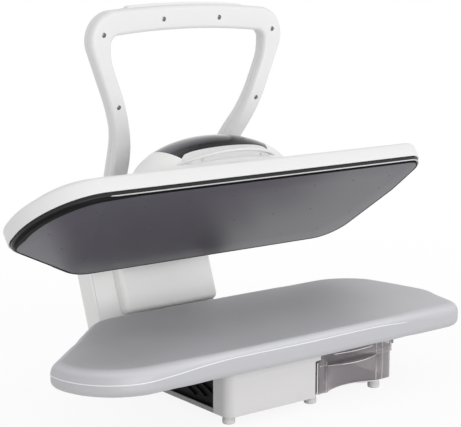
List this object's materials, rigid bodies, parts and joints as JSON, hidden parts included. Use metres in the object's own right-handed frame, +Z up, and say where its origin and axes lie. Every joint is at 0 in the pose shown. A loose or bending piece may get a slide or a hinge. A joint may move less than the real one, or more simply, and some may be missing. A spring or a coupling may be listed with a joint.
{
  "type": "steam ironing press",
  "caption": "Steam ironing press: a padded board on a low base with a pull-out clear water tank, and a heated soleplate head with a loop handle that swings down on a rear hinge.",
  "frame": {"origin": "middle of the footprint's bounding box, on the surface that the six feet stand on", "axes": "+X to the user's right along the board, +Y away from the user towards the hinge, +Z up"},
  "size_m": [0.6558, 0.4066, 0.5384],
  "materials": {
    "white": "satin gloss",
    "black": "matt",
    "smoke": "gloss",
    "sole": "dark coating, satin",
    "cloth": "silver coated weave",
    "foam": "open foam",
    "steel": "plain steel",
    "cast": "cast",
    "clear": "clear",
    "rubber": "matt",
    "green": "satin",
    "grey": "matt",
    "hose": "satin"
  },
  "bodies": {
    "base": {"base_tray": "grey", "chassis": "black", "front_fascia": "white", "board_carrier": "white", "foot_1": "rubber", "foot_2": "rubber", "foot_3": "rubber", "foot_4": "rubber", "foot_5": "rubber", "foot_6": "rubber", "power_board": "green", "water_pump": "grey", "tank_coupling": "rubber", "supply_hose": "hose", "lower_pressure_hose": "hose", "cord_gland": "black", "hinge_bracket": "steel", "hinge_pin": "steel", "lift_spring_left": "steel", "lift_spring_right": "steel", "board_pan": "steel", "foam_pad": "foam", "board_cover": "cloth"},
    "head": {"column_box_cover": "white", "column_front_cover": "white", "column_rear_cover": "white", "control_board": "green", "control_cover": "smoke", "control_housing": "white", "cross_bar": "steel", "grip_pad": "white", "handle_core": "steel", "handle_lower_shell": "white", "handle_screw_1": "steel", "handle_screw_2": "steel", "handle_screw_3": "steel", "handle_screw_4": "steel", "handle_screw_5": "steel", "handle_screw_6": "steel", "handle_upper_shell": "white", "head_shell": "white", "heating_element": "steel", "hinge_bush_left": "black", "hinge_bush_right": "black", "lift_arm": "steel", "skirt": "black", "soleplate": "sole", "spine_cover": "white", "steam_chamber_lid": "cast", "thermostat": "cast", "upper_pressure_hose": "hose", "visor": "white"},
    "tank": {"water_tank": "clear", "tank_lid": "clear", "outlet_valve": "white"},
    "plug": {"filler_plug": "rubber"},
    "button_power": {"button_power": "white"},
    "button_cooler": {"button_cooler": "white"},
    "button_hotter": {"button_hotter": "white"},
    "button_steam": {"button_steam": "white"}
  },
  "joints": [
    {"name": "head_lift", "type": "hinge", "parent": "base", "child": "head", "pos_m": [0.0001, 0.13539, 0.0656], "axis": [1, 0, 0], "range_deg": [0, 36.68], "stiffness_Nm_per_rad": 14, "springref_deg": -45.84},
    {"name": "tank_slide", "type": "slide", "parent": "base", "child": "tank", "axis": [0, -1, 0], "range_m": [0, 0.11]},
    {"name": "plug_lift", "type": "slide", "parent": "tank", "child": "plug", "axis": [0, 0, 1], "range_m": [0, 0.008]},
    {"name": "button_power_press", "type": "slide", "parent": "head", "child": "button_power", "axis": [0, -0.5974, -0.802], "range_m": [0, 0.0015], "stiffness_N_per_m": 400, "springref_m": -0.0015},
    {"name": "button_cooler_press", "type": "slide", "parent": "head", "child": "button_cooler", "axis": [0, -0.5974, -0.802], "range_m": [0, 0.0015], "stiffness_N_per_m": 400, "springref_m": -0.0015},
    {"name": "button_hotter_press", "type": "slide", "parent": "head", "child": "button_hotter", "axis": [0, -0.5974, -0.802], "range_m": [0, 0.0015], "stiffness_N_per_m": 400, "springref_m": -0.0015},
    {"name": "button_steam_press", "type": "slide", "parent": "head", "child": "button_steam", "axis": [0, -0.5974, -0.802], "range_m": [0, 0.0015], "stiffness_N_per_m": 400, "springref_m": -0.0015}
  ]
}
